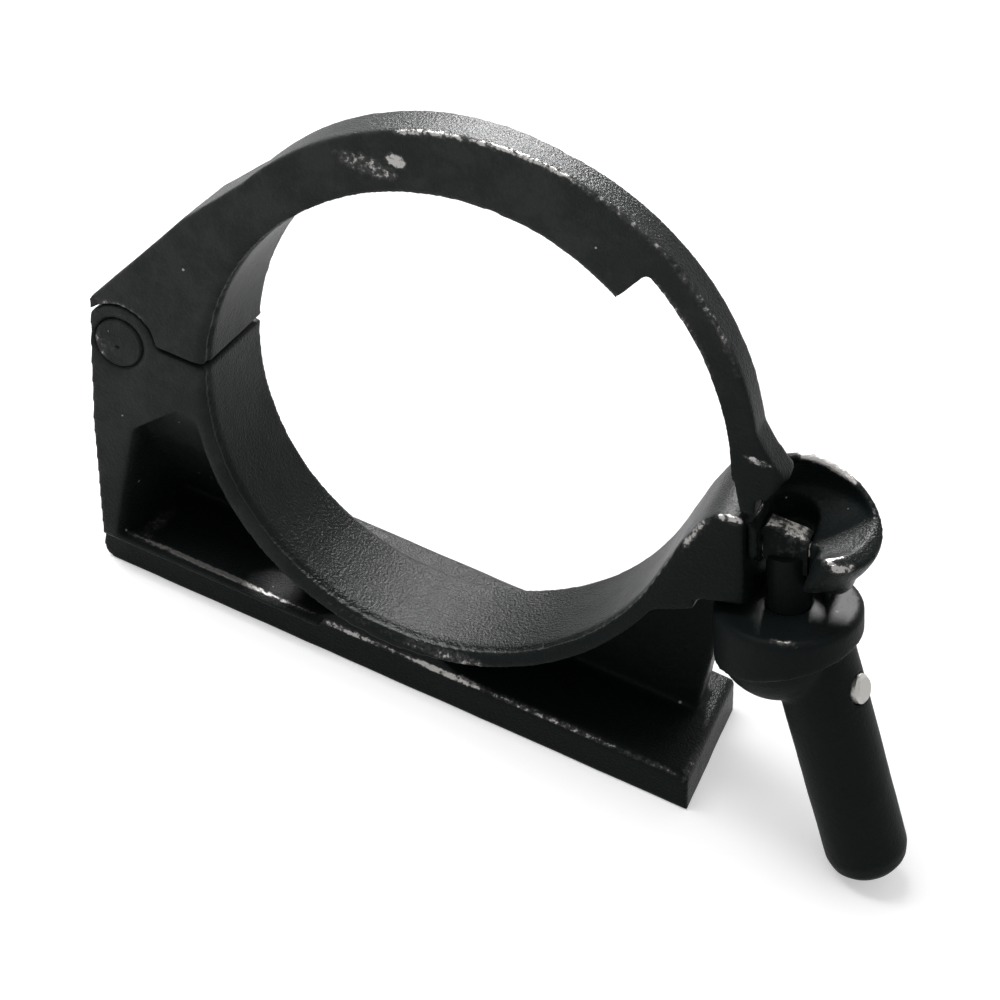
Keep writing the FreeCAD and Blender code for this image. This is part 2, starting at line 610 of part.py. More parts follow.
def lever_cross_pin():
    """Cross pin with a bevelled end standing out of the stem."""
    pin = cross_pin_cylinder(CROSS_PROUD)
    start, along = stem_frame()
    far_rim = max(
        [edge for edge in pin.Edges if isinstance(edge.Curve, Part.Circle)],
        key=lambda edge: (edge.Curve.Center - start).Length,
    )
    return pin.makeChamfer(CROSS_BEVEL, [far_rim])


def main():
    """Write one STEP file for each piece."""
    os.makedirs("parts", exist_ok=True)
    pieces = {
        "base_casting": base_casting(),
        "hinge_pin": hinge_pin(),
        "clamp_strap": clamp_strap(),
        "swing_bolt": swing_bolt(),
        "bolt_pivot_pin": bolt_pivot_pin(),
        "lever_nut": lever_nut(),
        "lever_cross_pin": lever_cross_pin(),
    }
    for name, shape in pieces.items():
        box = shape.BoundBox
        print(
            name, len(shape.Solids), shape.isValid(), round(shape.Volume / 1000, 1),
            [round(v, 1) for v in (box.XMin, box.XMax, box.YMin, box.YMax, box.ZMin, box.ZMax)],
        )
        shape.exportStep("parts/" + name + ".step")


main()
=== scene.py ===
"""Pipe clamp with a hinged strap, a swing bolt and a lever nut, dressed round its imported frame."""

import logging
import math
from dataclasses import dataclass, field
from enum import Enum

import bmesh
import bpy
import numpy as np
from mathutils import Matrix, Vector, noise


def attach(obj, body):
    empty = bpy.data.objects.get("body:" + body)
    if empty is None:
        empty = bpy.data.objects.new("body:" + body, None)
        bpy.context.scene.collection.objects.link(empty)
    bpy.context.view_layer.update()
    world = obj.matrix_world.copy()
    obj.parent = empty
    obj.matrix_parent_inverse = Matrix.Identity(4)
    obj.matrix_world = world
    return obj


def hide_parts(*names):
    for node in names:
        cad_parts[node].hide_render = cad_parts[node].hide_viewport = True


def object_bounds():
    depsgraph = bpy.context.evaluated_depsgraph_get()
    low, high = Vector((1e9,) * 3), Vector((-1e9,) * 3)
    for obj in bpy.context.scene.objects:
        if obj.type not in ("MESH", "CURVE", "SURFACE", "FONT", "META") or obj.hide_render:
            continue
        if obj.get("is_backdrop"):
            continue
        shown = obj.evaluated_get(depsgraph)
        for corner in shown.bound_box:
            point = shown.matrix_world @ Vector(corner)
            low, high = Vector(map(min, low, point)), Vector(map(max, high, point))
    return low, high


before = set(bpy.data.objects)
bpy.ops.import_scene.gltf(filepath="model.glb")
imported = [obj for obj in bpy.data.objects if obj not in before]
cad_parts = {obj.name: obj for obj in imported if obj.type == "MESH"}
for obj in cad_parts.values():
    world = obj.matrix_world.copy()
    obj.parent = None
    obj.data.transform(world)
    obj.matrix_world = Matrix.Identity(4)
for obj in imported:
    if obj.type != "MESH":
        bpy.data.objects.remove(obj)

LOG = logging.getLogger("pipe_clamp")
MM = 0.001

Place = tuple[float, float, float]
Colour = tuple[float, float, float, float]
Socket = bpy.types.NodeSocket
Value = Socket | float


class Region(Enum):
    """Where a worn spot takes the paint off."""

    EDGE = "edge"
    FACE = "face"


@dataclass(frozen=True)
class WornSpot:
    """A place where the paint has rubbed through, in millimetres of the clamp's frame.

    Args:
        centre: Middle of the spot.
        reach: Half lengths of the spot along X, Y and Z.
        strength: How much of the paint is gone, from 0 to 1.
        region: Whether only sharp edges are bare, or the flat face too.
        rim: Distance from the centre, in reaches, at which the spot has faded out.
        firmness: How soon the spot reaches its full strength inside its rim.
        edge_firmness: How soon an edge counts as fully sharp.
    """

    centre: Place
    reach: Place
    strength: float
    region: Region = Region.EDGE
    rim: float = 1.25
    firmness: float = 2.0
    edge_firmness: float = 1.3

    def wear(self, places: np.ndarray, sharp: np.ndarray) -> np.ndarray:
        """Work out how much paint the spot takes off at each place.

        Args:
            places: Places in metres, one row each.
            sharp: How sharp the surface is at each of them.

        Returns:
            A wear from 0 to the spot's strength for each place.
        """
        away = (places / MM - np.array(self.centre)) / np.array(self.reach)
        near = np.clip(self.rim - np.sqrt((away**2).sum(1)), 0.0, 1.0)
        mark = np.minimum(near * self.firmness, 1.0) * self.strength
        if self.region is Region.EDGE:
            mark = mark * np.clip(sharp * self.edge_firmness, 0.0, 1.0)
        return mark


@dataclass(frozen=True)
class PaintFinish:
    """Black paint over iron, with its wear and a painted light on its front faces.

    Args:
        name: Name of the material.
        colour: Colour of sound paint.
        painted_lit_colour: Painted light: the lighter tone of the front faces where the front light
            falls.
        metal: Colour of the bare metal that shows through.
        roughness: Roughness of the sound paint.
        painted_lit_roughness: Roughness where the painted light is full.
        ior: How strongly the paint mirrors.
        grain_mm: Size of the sand grain in the surface.
        grain_depth: Strength of the grain in the surface.
        wear_from: Wear value at which metal starts to show.
        specks: How many pale specks lie in the paint.
        speck_colour: Colour of the specks.
        speck_cover: How much a speck hides the paint under it.
        rubbed_share: How much metal colour shows where the paint is only rubbed.
        bare_metallic: How metallic the bare places are.
        blotch_least: How much of the painted light the darkest blotches keep.
        blotch_swing: How much more of it the palest blotches have.
        relief_mm: Height of the grain.
    """

    name: str
    colour: Colour
    painted_lit_colour: Colour
    metal: Colour
    roughness: float
    painted_lit_roughness: float
    ior: float
    grain_mm: float
    grain_depth: float
    wear_from: float
    specks: float
    speck_colour: Colour = (0.55, 0.55, 0.54, 1.0)
    speck_cover: float = 0.55
    rubbed_share: float = 0.16
    bare_metallic: float = 0.85
    blotch_least: float = 0.6
    blotch_swing: float = 0.5
    relief_mm: float = 0.35


@dataclass(frozen=True)
class SteelFinish:
    """Bare steel with bright rubbed faces and dark pits.

    Args:
        name: Name of the material.
        dark: Colour in the pits and on the unworn faces.
        bright: Colour of the rubbed faces.
        share: How much of the face is bright, from 0 to 1.
        roughness: Roughness of the bright metal.
        grain_mm: Size of the scratches and pits.
        blotch_grains: How many blotches lie in the width of one grain.
        pit_metallic: How metallic the pits are.
        metallic_swing: How much more metallic the bright faces are.
        relief: Strength of the pits in the surface.
        relief_mm: Depth of the pits.
    """

    name: str
    dark: Colour
    bright: Colour
    share: float
    roughness: float
    grain_mm: float
    blotch_grains: float = 0.25
    pit_metallic: float = 0.4
    metallic_swing: float = 0.5
    relief: float = 0.35
    relief_mm: float = 0.2

    @property
    def pit_range(self) -> tuple[float, float]:
        """Grain heights between which a pit turns into a rubbed face."""
        low = 0.85 - 0.6 * self.share
        return low, low + 0.12


class NodeBench:
    """Small helper that places shader nodes and joins them in one tree."""

    def __init__(self, tree: bpy.types.NodeTree) -> None:
        """Start on an empty tree.

        Args:
            tree: The node tree to build in.
        """
        self.tree = tree
        tree.nodes.clear()

    def add(self, kind: str, **settings: object) -> bpy.types.Node:
        """Place one node.

        Args:
            kind: Blender's type name of the node.
            settings: Values for the node's own options.

        Returns:
            The new node.
        """
        node = self.tree.nodes.new(kind)
        for key, value in settings.items():
            setattr(node, key, value)
        return node

    def join(self, source: Socket, target: Socket) -> None:
        """Link an output to an input."""
        self.tree.links.new(source, target)

    def feed(self, slot: Socket, value: Value | Colour) -> None:
        """Link a socket to an input, or set the input to a plain value."""
        if isinstance(value, Socket):
            self.join(value, slot)
        else:
            slot.default_value = value

    def maths(self, operation: str, first: Value, second: Value, clamp: bool = False) -> Socket:
        """Combine two values.

        Args:
            operation: Name of the Math node's operation.
            first: A socket or a number.
            second: A socket or a number.
            clamp: Whether the result is kept between 0 and 1.

        Returns:
            The result's socket.
        """
        node = self.add("ShaderNodeMath", operation=operation, use_clamp=clamp)
        self.feed(node.inputs[0], first)
        self.feed(node.inputs[1], second)
        return node.outputs[0]

    def ramp(self, value: Socket, low: float, high: float) -> Socket:
        """Spread a value smoothly from 0 at low to 1 at high.

        Args:
            value: The socket to spread.
            low: Value that becomes 0.
            high: Value that becomes 1.

        Returns:
            The spread value's socket.
        """
        node = self.add("ShaderNodeMapRange", interpolation_type="SMOOTHSTEP")
        self.join(value, node.inputs["Value"])
        node.inputs["From Min"].default_value = low
        node.inputs["From Max"].default_value = high
        return node.outputs["Result"]

    def mix(self, share: Value, first: Socket | Colour, second: Socket | Colour) -> Socket:
        """Mix two colours.

        Args:
            share: Socket or number, 0 for the first colour and 1 for the second.
            first: A socket or a colour.
            second: A socket or a colour.

        Returns:
            The mixed colour's socket.
        """
        node = self.add("ShaderNodeMix", data_type="RGBA")
        # These numbers are the colour sockets; the node's names repeat for other kinds of data.
        self.feed(node.inputs[0], share)
        self.feed(node.inputs[6], first)
        self.feed(node.inputs[7], second)
        return node.outputs[2]

    def noise(self, scale: Socket, detail: float, roughness: float) -> Socket:
        """Lay a noise on the piece's Object coordinates.

        Args:
            scale: Socket with its scale, in cells per metre.
            detail: How many finer layers it has.
            roughness: Strength of the finer layers.

        Returns:
            The noise value's socket.
        """
        place = self.add("ShaderNodeTexCoord")
        node = self.add("ShaderNodeTexNoise")
        node.inputs["Detail"].default_value = detail
        node.inputs["Roughness"].default_value = roughness
        self.join(place.outputs["Object"], node.inputs["Vector"])
        self.join(scale, node.inputs["Scale"])
        return node.outputs["Fac"]

    def relief(self, height: Socket, strength: float, depth_mm: float) -> Socket:
        """Turn a height into a bumped normal.

        Args:
            height: The height's socket.
            strength: Strength of the bumps, from 0 to 1.
            depth_mm: Height of the bumps.

        Returns:
            The normal's socket.
        """
        bump = self.add("ShaderNodeBump")
        bump.inputs["Strength"].default_value = strength
        bump.inputs["Distance"].default_value = depth_mm * MM
        self.join(height, bump.inputs["Height"])
        return bump.outputs["Normal"]


class Effects:
    """The shared surface effects, each a node group built once."""

    def __init__(self) -> None:
        """Build the groups."""
        self.grain = self._sand_grain()
        self.wear = self._edge_wear()
        self.specks = self._specks()

    @staticmethod
    def _group(
        name: str, inputs: dict[str, float], outputs: list[str]
    ) -> tuple[bpy.types.NodeTree, NodeBench, bpy.types.Node, bpy.types.Node]:
        """Start a node group with number sockets.

        Args:
            name: Name of the group.
            inputs: Input names and their default values.
            outputs: Output names.

        Returns:
            The group, its bench, and its input and output nodes.
        """
        tree = bpy.data.node_groups.new(name, "ShaderNodeTree")
        number = "NodeSocketFloat"
        for label, value in inputs.items():
            socket = tree.interface.new_socket(name=label, in_out="INPUT", socket_type=number)
            socket.default_value = value
        for label in outputs:
            tree.interface.new_socket(name=label, in_out="OUTPUT", socket_type=number)
        bench = NodeBench(tree)
        return tree, bench, bench.add("NodeGroupInput"), bench.add("NodeGroupOutput")

    def _sand_grain(self) -> bpy.types.NodeTree:
        """Fine grain of a sand casting and the slow unevenness of its paint."""
        tree, bench, start, end = self._group(
            "Sand grain",
            {"Grain per metre": 1200.0, "Blotch per metre": 90.0},
            ["Height", "Blotch"],
        )
        lump_share = 0.6
        fine = bench.noise(start.outputs["Grain per metre"], detail=3.0, roughness=0.62)
        lumps = bench.noise(start.outputs["Blotch per metre"], detail=5.0, roughness=0.66)
        height = bench.maths("ADD", fine, bench.maths("MULTIPLY", lumps, lump_share))
        bench.join(height, end.inputs["Height"])
        bench.join(bench.ramp(lumps, low=0.40, high=0.68), end.inputs["Blotch"])
        return tree

    def _edge_wear(self) -> bpy.types.NodeTree:
        """Mask of bare metal, broken up by noise so that it never ends in a clean line."""
        tree, bench, start, end = self._group(
            "Edge wear",
            {"Worn": 0.0, "Breakup per metre": 640.0, "From": 0.35},
            ["Bare", "Rubbed"],
        )
        middle, reach = 0.5, 1.5
        patchy = bench.noise(start.outputs["Breakup per metre"], detail=6.0, roughness=0.72)
        swing = bench.maths("MULTIPLY", bench.maths("SUBTRACT", patchy, middle), reach)
        level = bench.maths("ADD", start.outputs["Worn"], swing)
        over = bench.maths("SUBTRACT", level, start.outputs["From"])
        gate = bench.ramp(start.outputs["Worn"], low=0.02, high=0.12)
        bare = bench.maths("MULTIPLY", bench.ramp(over, low=0.0, high=0.16), gate)
        rubbed = bench.maths("MULTIPLY", bench.ramp(over, low=-0.35, high=0.25), gate)
        bench.join(bare, end.inputs["Bare"])
        bench.join(rubbed, end.inputs["Rubbed"])
        return tree

    def _specks(self) -> bpy.types.NodeTree:
        """Tiny pale chips and dust grains scattered over the paint."""
        tree, bench, start, end = self._group(
            "Specks", {"Cells per metre": 260.0, "Share": 0.1}, ["Mask"]
        )
        place = bench.add("ShaderNodeTexCoord")
        cells = bench.add("ShaderNodeTexVoronoi")
        bench.join(place.outputs["Object"], cells.inputs["Vector"])
        bench.join(start.outputs["Cells per metre"], cells.inputs["Scale"])
        split = bench.add("ShaderNodeSeparateColor")
        bench.join(cells.outputs["Color"], split.inputs["Color"])
        largest = 0.16
        size = bench.maths("MULTIPLY", split.outputs["Green"], largest)
        dot = bench.maths("LESS_THAN", cells.outputs["Distance"], size)
        chosen = bench.maths("LESS_THAN", split.outputs["Red"], start.outputs["Share"])
        bench.join(bench.maths("MULTIPLY", dot, chosen), end.inputs["Mask"])
        return tree


class FinishShop:
    """Makes the materials from the finishes."""

    def __init__(self, effects: Effects) -> None:
        """Keep the shared effects at hand.

        Args:
            effects: The node groups that the materials use.
        """
        self.effects = effects

    @staticmethod
    def _start(name: str) -> tuple[bpy.types.Material, NodeBench, bpy.types.Node]:
        """Start a material with a Principled shader on its output.

        Args:
            name: Name of the material.

        Returns:
            The material, its bench and the shader node.
        """
        material = bpy.data.materials.new(name)
        material.use_nodes = True
        bench = NodeBench(material.node_tree)
        shader = bench.add("ShaderNodeBsdfPrincipled")
        output = bench.add("ShaderNodeOutputMaterial")
        bench.join(shader.outputs[0], output.inputs["Surface"])
        return material, bench, shader

    @staticmethod
    def _effect(bench: NodeBench, tree: bpy.types.NodeTree, **values: float) -> bpy.types.Node:
        """Place a shared effect with its own values.

        Args:
            bench: The material's bench.
            tree: The effect's node group.
            values: Input names, with _ for a space, and their values.

        Returns:
            The group node.
        """
        node = bench.add("ShaderNodeGroup", node_tree=tree)
        for key, value in values.items():
            node.inputs[key.replace("_", " ")].default_value = value
        return node

    def paint(self, finish: PaintFinish) -> bpy.types.Material:
        """Black paint with grain, painted light on its front faces, grey rubbing, bright wear and
        pale specks.

        Args:
            finish: The paint's colours and measures.

        Returns:
            The material.
        """
        material, bench, shader = self._start(finish.name)
        grains = 1.0 / (finish.grain_mm * MM)
        grain = self._effect(bench, self.effects.grain, Grain_per_metre=grains)
        worn = bench.add("ShaderNodeAttribute", attribute_name="worn")
        wear = self._effect(bench, self.effects.wear, From=finish.wear_from)
        bench.join(worn.outputs["Fac"], wear.inputs["Worn"])
        specks = self._effect(bench, self.effects.specks, Share=finish.specks)
        # Painted light: the front faces get a lighter tone and a higher roughness toward the hinge
        # and the top, where the front light falls; the blotches make it uneven.
        painted_light = bench.add("ShaderNodeAttribute", attribute_name="painted_light")
        blotch = bench.maths("MULTIPLY", grain.outputs["Blotch"], finish.blotch_swing)
        patchy = bench.maths("ADD", blotch, finish.blotch_least)
        painted_lit_share = bench.maths("MULTIPLY", painted_light.outputs["Fac"], patchy, True)
        sound = bench.mix(painted_lit_share, finish.colour, finish.painted_lit_colour)
        rub = bench.maths("MULTIPLY", wear.outputs["Rubbed"], finish.rubbed_share)
        rubbed = bench.mix(rub, sound, finish.metal)
        dust = bench.maths("MULTIPLY", specks.outputs["Mask"], finish.speck_cover)
        dusty = bench.mix(dust, rubbed, finish.speck_colour)
        bare = wear.outputs["Bare"]
        bench.join(bench.mix(bare, dusty, finish.metal), shader.inputs["Base Color"])
        metallic = bench.maths("MULTIPLY", bare, finish.bare_metallic)
        bench.join(metallic, shader.inputs["Metallic"])
        spread = finish.painted_lit_roughness - finish.roughness
        rough = bench.maths("ADD", bench.maths("MULTIPLY", painted_lit_share, spread), finish.roughness)
        bench.join(rough, shader.inputs["Roughness"])
        shader.inputs["IOR"].default_value = finish.ior
        bumps = bench.relief(grain.outputs["Height"], finish.grain_depth, finish.relief_mm)
        bench.join(bumps, shader.inputs["Normal"])
        return material

    def steel(self, finish: SteelFinish) -> bpy.types.Material:
        """Rubbed steel with dark pits.

        Args:
            finish: The steel's colours and measures.

        Returns:
            The material.
        """
        material, bench, shader = self._start(finish.name)
        grain_width = finish.grain_mm * MM
        grain = self._effect(
            bench,
            self.effects.grain,
            Grain_per_metre=1.0 / grain_width,
            Blotch_per_metre=finish.blotch_grains / grain_width,
        )
        bright = bench.ramp(grain.outputs["Height"], *finish.pit_range)
        bench.join(bench.mix(bright, finish.dark, finish.bright), shader.inputs["Base Color"])
        gain = bench.maths("MULTIPLY", bright, finish.metallic_swing)
        metallic = bench.maths("ADD", gain, finish.pit_metallic)
        bench.join(metallic, shader.inputs["Metallic"])
        shader.inputs["Roughness"].default_value = finish.roughness
        bumps = bench.relief(grain.outputs["Height"], finish.relief, finish.relief_mm)
        bench.join(bumps, shader.inputs["Normal"])
        return material


CAST_PAINT = PaintFinish(
    name="Black paint on cast iron",
    colour=(0.0046, 0.0064, 0.0064, 1.0),
    # Painted light: the second colour is the lighter tone that the front faces take where the front
    # light falls.
    painted_lit_colour=(0.0270, 0.0300, 0.0290, 1.0),
    metal=(0.34, 0.33, 0.32, 1.0),
    roughness=0.32,
    painted_lit_roughness=0.42,
    ior=1.13,
    grain_mm=0.75,
    grain_depth=1.0,
    wear_from=0.42,
    specks=0.09,
)
FORGED_PAINT = PaintFinish(
    name="Black paint on forged steel",
    colour=(0.0046, 0.0062, 0.0062, 1.0),
    # Painted light: the second colour is the lighter tone that the front faces take where the front
    # light falls.
    painted_lit_colour=(0.0270, 0.0300, 0.0290, 1.0),
    metal=(0.42, 0.41, 0.39, 1.0),
    roughness=0.50,
    painted_lit_roughness=0.56,
    ior=1.13,
    grain_mm=1.1,
    grain_depth=0.40,
    wear_from=0.48,
    specks=0.06,
)
PIN_STEEL = SteelFinish(
    name="Bright pin steel",
    dark=(0.03, 0.03, 0.03, 1.0),
    bright=(0.42, 0.41, 0.39, 1.0),
    share=0.62,
    roughness=0.40,
    grain_mm=0.9,
)


@dataclass(frozen=True)
class PaintedFrontLight:
    """Painted light: the front faces painted a lighter tone toward the hinge and the top, where the
    front light falls.

    Args:
        fade_mm: Distance from the pipe's axis toward the lock at which the painted light ends.
        lean: How far that distance leans back as the place rises.
        low_fade_mm: Distance below the axis at which the painted light ends.
        front_mm: Where the front faces lie along Y.
        behind_mm: Distance behind the front over which the painted light fades.
        least: How much of the painted light stays behind the front.
    """

    fade_mm: float = 80.0
    lean: float = 0.5
    low_fade_mm: float = 120.0
    front_mm: float = -16.5
    behind_mm: float = 6.0
    least: float = 0.25

    def at(self, places: np.ndarray) -> np.ndarray:
        """Work out the painted light at each place.

        Args:
            places: Places in metres, one row each.

        Returns:
            A share of painted light from 0 upward for each place.
        """
        toward_lock = places[:, 0] - self.lean * places[:, 2]
        painted_lit_share = np.clip(1.0 - toward_lock / (self.fade_mm * MM), 0.0, 1.0)
        painted_lit_share *= np.clip(1.0 + places[:, 2] / (self.low_fade_mm * MM), 0.0, 1.0)
        behind = places[:, 1] - self.front_mm * MM
        painted_lit_share *= np.clip(1.0 - behind / (self.behind_mm * MM), self.least, 1.0)
        return painted_lit_share


@dataclass(frozen=True)
class CastSkin:
    """The soft and slightly uneven skin of a casting or forging.

    Args:
        voxel_mm: Width of its cells.
        soften: How many times its edges are smoothed.
        soft_share: How far each smoothing moves a point.
        uneven_mm: Depth of its unevenness.
        lumps_per_metre: How close together the lumps of the unevenness lie.
        octaves: How many sizes of lump there are.
    """

    voxel_mm: float
    soften: int
    soft_share: float = 0.5
    uneven_mm: float = 0.12
    lumps_per_metre: float = 70.0
    octaves: int = 3

    def lay_over(self, form: bpy.types.Object, name: str) -> bpy.types.Object:
        """Put the skin in place of a plain form.

        Args:
            form: The copy of the solid, which is removed.
            name: Name of the skinned piece.

        Returns:
            The skinned piece.
        """
        skin = form.modifiers.new("Skin", "REMESH")
        skin.mode = "VOXEL"
        skin.voxel_size = self.voxel_mm * MM
        skin.use_smooth_shade = True
        soft = form.modifiers.new("Soft edges", "SMOOTH")
        soft.factor = self.soft_share
        soft.iterations = self.soften
        graph = bpy.context.evaluated_depsgraph_get()
        mesh = bpy.data.meshes.new_from_object(form.evaluated_get(graph))
        mesh.name = name
        bpy.data.objects.remove(form)
        piece = bpy.data.objects.new(name, mesh)
        bpy.context.scene.collection.objects.link(piece)
        return piece

    def roughen(self, mesh: bpy.types.Mesh, places: np.ndarray, normals: np.ndarray) -> None:
        """Press the skin in unevenly, never outward.

        Args:
            mesh: The skin.
            places: Its points.
            normals: Its normals.
        """
        spots = [Vector(place) * self.lumps_per_metre for place in places]
        lumps = np.array([noise.fractal(spot, 1.0, 2.0, self.octaves) for spot in spots])
        depth = np.clip(0.5 + lumps, 0.0, 1.0) * (self.uneven_mm * MM)
        places -= normals * depth[:, None]
        mesh.vertices.foreach_set("co", places.reshape(-1))
        mesh.update()


@dataclass
class PaintedPiece:
    """A painted piece made from the frame's solid, with the wear of its paint and painted light on
    its front faces.

    Args:
        node: The frame's node that it stands for.
        body: The body that it moves with.
        slot: Name of a material slot; not used.
        skin: Its cast skin, or None to keep the solid's own faces.
        spots: The places where the paint is worn through.
        edge_wear: How much any sharp edge is worn.
        painted_front_light: Where light is painted on its front faces.
        weld_mm: Distance within which the points of the solid's faces are one point.
        full_edge_mm: How far a fully sharp edge stands out of its neighbourhood.
        edge_rounds: How many times the neighbourhood is smoothed to measure that.
    """

    node: str
    body: str
    slot: str
    skin: CastSkin | None = None
    spots: list[WornSpot] = field(default_factory=list)
    edge_wear: float = 0.05
    painted_front_light: PaintedFrontLight = PaintedFrontLight()
    weld_mm: float = 0.002
    full_edge_mm: float = 0.16
    edge_rounds: int = 4

    def build(self, material: bpy.types.Material) -> bpy.types.Object:
        """Build and dress the piece.

        Args:
            material: Its finish.

        Returns:
            The finished piece.
        """
        piece = self._copy_of_solid()
        if self.skin:
            piece = self.skin.lay_over(piece, self.node + "_casting")
        else:
            piece.name = self.node + "_painted"
        self._weather(piece.data)
        piece.data.materials.clear()
        piece.data.materials.append(material)
        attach(piece, self.body)
        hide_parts(self.node)
        return piece

    def _copy_of_solid(self) -> bpy.types.Object:
        """Copy the frame's solid as one closed mesh."""
        mesh = bpy.data.meshes.new(self.node + "_form")
        form = bmesh.new()
        form.from_mesh(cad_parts[self.node].data)
        bmesh.ops.remove_doubles(form, verts=form.verts, dist=self.weld_mm * MM)
        form.to_mesh(mesh)
        form.free()
        piece = bpy.data.objects.new(self.node + "_form", mesh)
        bpy.context.scene.collection.objects.link(piece)
        return piece

    def _weather(self, mesh: bpy.types.Mesh) -> None:
        """Mark where the paint is worn and where light is painted on, and roughen the skin.

        Args:
            mesh: The piece's mesh.
        """
        places = self._vectors(mesh, "co")
        normals = self._vectors(mesh, "normal")
        self._mark(mesh, "worn", self._worn(mesh, places, normals))
        # Painted light: a lighter tone on the front faces toward the hinge and the top.
        self._mark(mesh, "painted_light", self.painted_front_light.at(places))
        if self.skin:
            self.skin.roughen(mesh, places, normals)

    @staticmethod
    def _vectors(mesh: bpy.types.Mesh, what: str) -> np.ndarray:
        """Read a vector of each point, one row each."""
        flat = np.zeros(len(mesh.vertices) * 3)
        mesh.vertices.foreach_get(what, flat)
        return flat.reshape(-1, 3)

    @staticmethod
    def _mark(mesh: bpy.types.Mesh, name: str, values: np.ndarray) -> None:
        """Store a value for each point as an attribute."""
        layer = mesh.attributes.new(name, "FLOAT", "POINT")
        layer.data.foreach_set("value", values.astype(np.float32))

    def _worn(
        self, mesh: bpy.types.Mesh, places: np.ndarray, normals: np.ndarray
    ) -> np.ndarray:
        """Work out how far the paint is worn at each point.

        Args:
            mesh: The piece's mesh.
            places: Its points.
            normals: Its normals.

        Returns:
            A wear from 0 to 1 for each point.
        """
        sharp = self._sharpness(mesh, places, normals)
        worn = np.clip(sharp, 0.0, 1.0) * self.edge_wear
        for spot in self.spots:
            worn = np.maximum(worn, spot.wear(places, sharp))
        return worn

    def _sharpness(
        self, mesh: bpy.types.Mesh, places: np.ndarray, normals: np.ndarray
    ) -> np.ndarray:
        """Measure how far each point stands out of its smoothed neighbourhood.

        Args:
            mesh: The piece's mesh.
            places: Its points.
            normals: Its normals.

        Returns:
            About 1 on a sharp outer edge, 0 on a flat face, below 0 in a corner.
        """
        pairs = np.zeros(len(mesh.edges) * 2, int)
        mesh.edges.foreach_get("vertices", pairs)
        first, second = pairs.reshape(-1, 2).T
        degree = np.bincount(pairs, minlength=len(places)).astype(float)[:, None]
        soft = places.copy()
        for _ in range(self.edge_rounds):
            total = np.zeros_like(soft)
            np.add.at(total, first, soft[second])
            np.add.at(total, second, soft[first])
            soft = total / degree
        stands = ((places - soft) * normals).sum(1)
        return stands / (self.full_edge_mm * MM)


@dataclass
class BareSteelPin:
    """A bare steel pin of the frame that keeps its own mesh.

    Args:
        node: The frame's node.
    """

    node: str

    def build(self, material: bpy.types.Material) -> bpy.types.Object:
        """Dress the pin.

        Args:
            material: Its finish.

        Returns:
            The frame's object.
        """
        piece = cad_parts[self.node]
        piece.data.materials.clear()
        piece.data.materials.append(material)
        return piece


@dataclass
class PhotoCamera:
    """Camera at the viewing angle of the photograph.

    Args:
        spot: Where it stands, in metres.
        azimuth: Degrees that it stands to the right of the front.
        elevation: Degrees that it looks down.
        roll: Degrees that the picture leans to the right.
        lens_mm: Focal length.
        sensor_mm: Width of the picture that the focal length goes with.
        near: Distance in metres at which its view starts.
    """

    spot: Place = (0.10957, -0.42440, 0.29421)
    azimuth: float = 12.274
    elevation: float = 36.099
    roll: float = 15.504
    lens_mm: float = 71.474
    sensor_mm: float = 36.0
    near: float = 0.01

    def build(self) -> bpy.types.Object:
        """Place the camera and make it the scene's own."""
        turn = math.radians(self.azimuth)
        dip = math.radians(self.elevation)
        flat = math.cos(dip)
        ahead = Vector((-math.sin(turn) * flat, math.cos(turn) * flat, -math.sin(dip)))
        level = ahead.cross(Vector((0, 0, 1))).normalized()
        above = level.cross(ahead)
        lean = math.radians(self.roll)
        right = level * math.cos(lean) + above * math.sin(lean)
        up = above * math.cos(lean) - level * math.sin(lean)
        data = bpy.data.cameras.new("Photo camera")
        data.lens = self.lens_mm
        data.sensor_width = self.sensor_mm
        data.clip_start = self.near
        camera = bpy.data.objects.new("Photo camera", data)
        axes = Matrix((right, up, -ahead)).transposed().to_4x4()
        camera.matrix_world = Matrix.Translation(Vector(self.spot)) @ axes
        bpy.context.scene.collection.objects.link(camera)
        bpy.context.scene.camera = camera
        return camera


@dataclass(frozen=True)
class SoftLamp:
    """A square soft lamp that points at the clamp.

    Args:
        name: Name of the lamp.
        spot: Where it hangs, in metres.
        size: Width of its face in metres.
        power: Its power in watts.
        glint: Whether it only shows as a highlight and lights no matt surface.
    """

    name: str
    spot: Place
    size: float
    power: float
    glint: bool = False

    def hang(self) -> bpy.types.Object:
        """Put the lamp in the scene."""
        data = bpy.data.lights.new(self.name, "AREA")
        data.energy = self.power
        data.size = self.size
        lamp = bpy.data.objects.new(self.name, data)
        lamp.location = self.spot
        lamp.visible_diffuse = not self.glint
        lamp.rotation_euler = (-Vector(self.spot)).to_track_quat("-Z", "Y").to_euler()
        bpy.context.scene.collection.objects.link(lamp)
        return lamp


LEFT_KEY = SoftLamp("Left key", (-0.62, -0.05, 1.05), 0.80, 16.0)
BACK_GLINT = SoftLamp("Back glint", (-0.34, 0.95, 0.66), 0.30, 62.0, glint=True)


